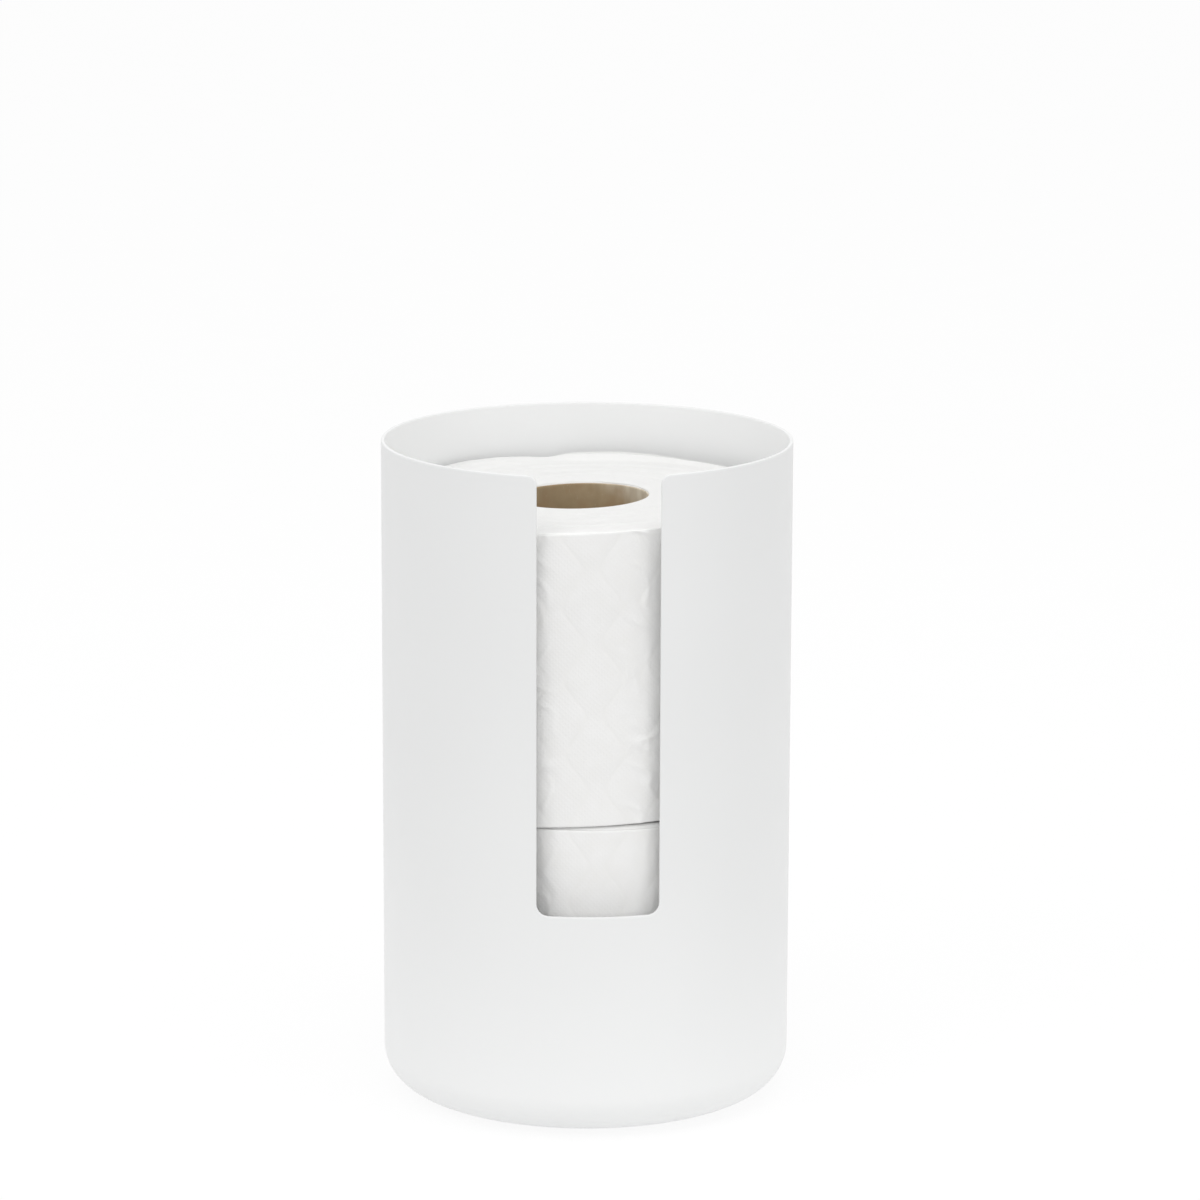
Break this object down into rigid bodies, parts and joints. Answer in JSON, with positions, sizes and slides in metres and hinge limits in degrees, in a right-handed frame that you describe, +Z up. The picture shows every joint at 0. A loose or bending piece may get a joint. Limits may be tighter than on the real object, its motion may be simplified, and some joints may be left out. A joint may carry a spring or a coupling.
{
  "type": "toilet roll storage holder",
  "caption": "Open-topped round storage can with a rounded lower corner and a tall finger slot in its front, holding stacked toilet rolls that lift out.",
  "frame": {"origin": "on the ground at the middle of the foot ring, on the axis of the can", "axes": "+Z up along the axis of the can, -Y out through the middle of the slot, +X to the right as seen from the slot side"},
  "size_m": [0.1354, 0.1354, 0.22],
  "materials": {
    "powder_coat": "satin",
    "silicone": "matte",
    "tissue": "matte",
    "board": "matte"
  },
  "bodies": {
    "holder": {"body_shell": "powder_coat", "foot_ring": "silicone"},
    "lower_roll": {"lower_core": "board", "lower_paper": "tissue", "lower_wrap": "tissue"},
    "upper_roll": {"upper_core": "board", "upper_paper": "tissue", "upper_wrap": "tissue"}
  },
  "joints": [
    {"name": "lift_lower_roll", "type": "slide", "parent": "holder", "child": "lower_roll", "axis": [0, 0, 1], "range_m": [0, 0.225]},
    {"name": "lift_upper_roll", "type": "slide", "parent": "lower_roll", "child": "upper_roll", "axis": [0, 0, 1], "range_m": [0, 0.13]}
  ]
}
